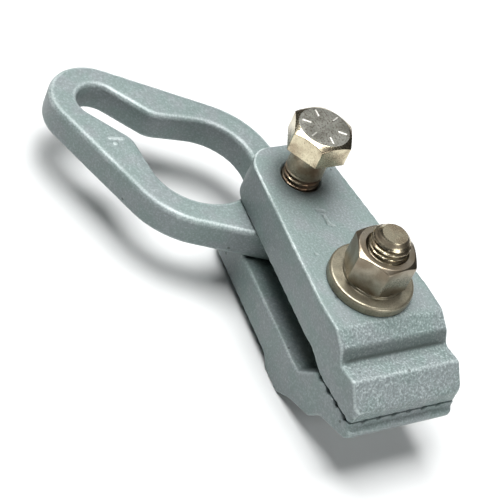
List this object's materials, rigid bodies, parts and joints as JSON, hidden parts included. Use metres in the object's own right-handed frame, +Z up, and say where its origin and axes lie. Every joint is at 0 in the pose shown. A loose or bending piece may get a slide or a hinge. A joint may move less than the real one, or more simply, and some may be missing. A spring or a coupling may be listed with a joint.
{
  "type": "pull clamp",
  "caption": "Body-repair pull clamp: two toothed forged jaws drawn together by a main bolt and nut, levelled by a back bolt, with a swivelling keyhole pull loop.",
  "frame": {"origin": "on the main bolt's axis, on the underside of its head, flush with the two ears under the lower jaw", "axes": "+Z up along the bolts, +X from the back bolt towards the teeth, +Y across the jaws"},
  "size_m": [0.1582, 0.0804, 0.066],
  "materials": {
    "forged_paint": "pale grey-green metallic paint over a forged and shot-blasted surface, satin",
    "plated_steel": "yellow-bronze zinc plating on machined steel, semi-gloss"
  },
  "bodies": {
    "lower_assembly": {"lower_jaw": "forged_paint", "main_bolt": "plated_steel"},
    "upper_assembly": {"upper_jaw": "forged_paint", "main_washer": "plated_steel"},
    "main_nut": {"main_nut": "plated_steel"},
    "back_bolt": {"back_bolt": "plated_steel"},
    "pull_loop": {"pull_loop": "forged_paint"}
  },
  "joints": [
    {"name": "jaw_lift", "type": "slide", "parent": "lower_assembly", "child": "upper_assembly", "axis": [0, 0, 1], "range_m": [0, 0.006]},
    {"name": "nut_turn", "type": "hinge", "parent": "upper_assembly", "child": "main_nut", "pos_m": [0, 0, 0.05], "axis": [0, 0, 1], "range_deg": [0, 1110]},
    {"name": "back_bolt_turn", "type": "hinge", "parent": "lower_assembly", "child": "back_bolt", "pos_m": [-0.046, 0, 0.03], "axis": [0, 0, 1], "range_deg": [-1110, 0]},
    {"name": "loop_swing", "type": "hinge", "parent": "lower_assembly", "child": "pull_loop", "pos_m": [-0.046, 0, 0.022], "axis": [0, 0, 1], "range_deg": [-157.5, 82.5]}
  ],
  "couplings": [
    {"joint": "nut_turn", "follows": "jaw_lift", "rad_per_m": 3215.8},
    {"joint": "back_bolt_turn", "follows": "jaw_lift", "rad_per_m": -3215.8}
  ]
}
